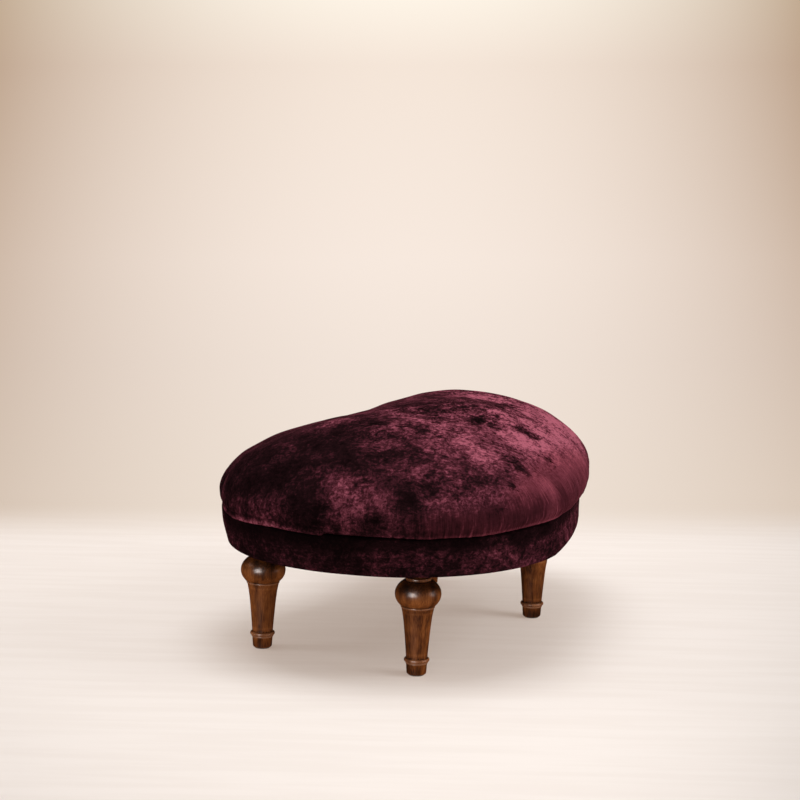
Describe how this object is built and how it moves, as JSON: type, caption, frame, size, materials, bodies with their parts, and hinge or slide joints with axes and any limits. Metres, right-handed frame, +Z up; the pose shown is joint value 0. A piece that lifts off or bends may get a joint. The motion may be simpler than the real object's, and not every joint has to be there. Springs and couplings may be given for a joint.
{
  "type": "upholstered footstool",
  "caption": "Kidney-shaped footstool with a domed velvet cushion over a padded velvet band, on turned dark wood legs.",
  "frame": {"origin": "on the floor under the middle of the stool's bounding box", "axes": "+X along the length to the small lobe, -Y towards the long rounded front, +Y towards the hollow back, +Z up"},
  "size_m": [0.672, 0.4519, 0.3047],
  "materials": {
    "plum_velvet": "crushed pile velvet, deep plum with mauve lights",
    "white_wadding": "soft polyester wadding",
    "cushion_foam": "open-cell polyurethane foam",
    "plywood": "sanded birch plywood",
    "bent_skin": "bare hardboard",
    "pine_block": "sawn pine",
    "staple_wire": "galvanised wire",
    "yellow_screw": "yellow-passivated steel",
    "black_cambric": "spun-bonded dust cover cloth",
    "walnut": "dark stained hardwood under satin lacquer",
    "zinc_steel": "bright zinc plate",
    "brown_felt": "dense needled felt"
  },
  "bodies": {
    "root": {"seat_cover": "plum_velvet", "seat_wadding": "white_wadding", "seat_foam": "cushion_foam", "seat_board": "plywood", "seat_cover_staples": "staple_wire", "band_cover": "plum_velvet", "band_wadding": "white_wadding", "band_skin": "bent_skin", "band_skin_staples": "staple_wire", "band_cover_staples": "staple_wire", "top_ring": "plywood", "base_board": "plywood", "spacer_left": "pine_block", "spacer_front_left": "pine_block", "spacer_front_right": "pine_block", "spacer_right": "pine_block", "spacer_back_right": "pine_block", "spacer_back_left": "pine_block", "seat_screws": "yellow_screw", "dust_cover": "black_cambric", "dust_cover_staples": "staple_wire", "leg_front_left": "walnut", "leg_front_right": "walnut", "leg_back_left": "walnut", "leg_back_right": "walnut", "hanger_bolts": "zinc_steel", "tee_nuts": "zinc_steel", "foot_pads": "brown_felt"}
  },
  "joints": []
}
